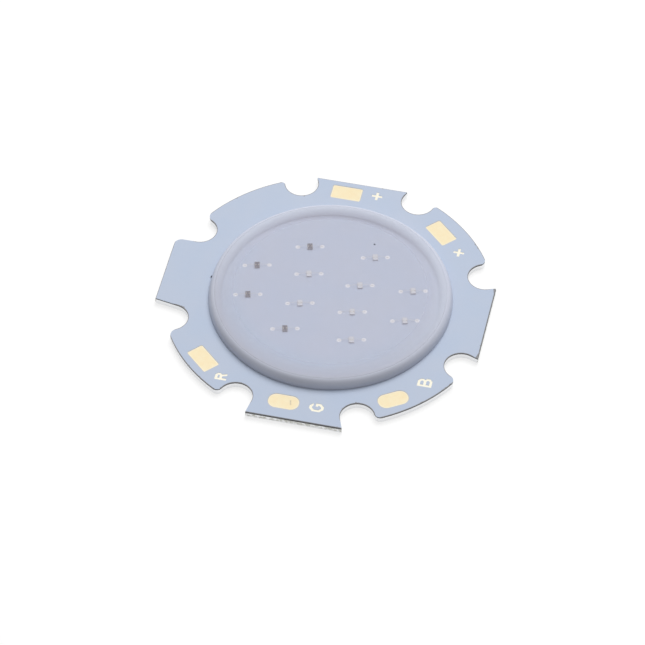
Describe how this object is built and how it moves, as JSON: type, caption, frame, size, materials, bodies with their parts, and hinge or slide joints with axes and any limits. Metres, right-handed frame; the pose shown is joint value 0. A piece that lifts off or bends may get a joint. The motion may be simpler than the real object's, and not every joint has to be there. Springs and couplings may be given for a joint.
{
  "type": "rgb led",
  "caption": "Round chip-on-board light source: white aluminium-core board with screw notches, solder pads, a silicone ring and clear gel over small red, green and blue dies.",
  "frame": {"origin": "centre of the rim circle on the heat-sink face", "axes": "+Z is the way the light leaves; +Y points at the edge with a plus pad, opposite the green pad; +X points at the edge between the other plus pad and the blue pad"},
  "size_m": [0.0276, 0.0271, 0.0016],
  "materials": {
    "aluminium": "bare, routed and snapped edges",
    "dielectric": "filled resin, dark at the cut edge",
    "copper": "etched copper, covered by the mask",
    "white_mask": "satin white ink, cool in tone",
    "gold_plate": "pale gold plating, satin",
    "gold_wire": "drawn gold wire",
    "die_glue": "clear adhesive",
    "red_die": "dark polished semiconductor",
    "green_die": "pale clear crystal",
    "blue_die": "pale clear crystal",
    "ring_silicone": "smooth translucent silicone",
    "clear_gel": "clear soft silicone, glossy"
  },
  "bodies": {
    "root": {"aluminium_core": "aluminium", "dielectric_layer": "dielectric", "solder_mask": "white_mask", "gel_ring": "ring_silicone", "gel_pool": "clear_gel", "anode_copper": "copper", "red_cathode_copper": "copper", "green_cathode_copper": "copper", "blue_cathode_copper": "copper", "red_link_1": "copper", "red_link_2": "copper", "red_link_3": "copper", "red_die_1": "red_die", "red_die_2": "red_die", "red_die_3": "red_die", "red_die_4": "red_die", "red_bond_pads": "gold_plate", "red_die_glue": "die_glue", "red_bond_wires": "gold_wire", "green_link_1": "copper", "green_link_2": "copper", "green_link_3": "copper", "green_die_1": "green_die", "green_die_2": "green_die", "green_die_3": "green_die", "green_die_4": "green_die", "green_bond_pads": "gold_plate", "green_die_glue": "die_glue", "green_bond_wires": "gold_wire", "blue_link_1": "copper", "blue_link_2": "copper", "blue_link_3": "copper", "blue_die_1": "blue_die", "blue_die_2": "blue_die", "blue_die_3": "blue_die", "blue_die_4": "blue_die", "blue_bond_pads": "gold_plate", "blue_die_glue": "die_glue", "blue_bond_wires": "gold_wire", "plus_pad_far": "gold_plate", "plus_pad_right": "gold_plate", "red_pad": "gold_plate", "green_pad": "gold_plate", "blue_pad": "gold_plate", "plus_mark_far": "gold_plate", "plus_mark_right": "gold_plate", "letter_r": "gold_plate", "letter_g": "gold_plate", "letter_b": "gold_plate"}
  },
  "joints": []
}
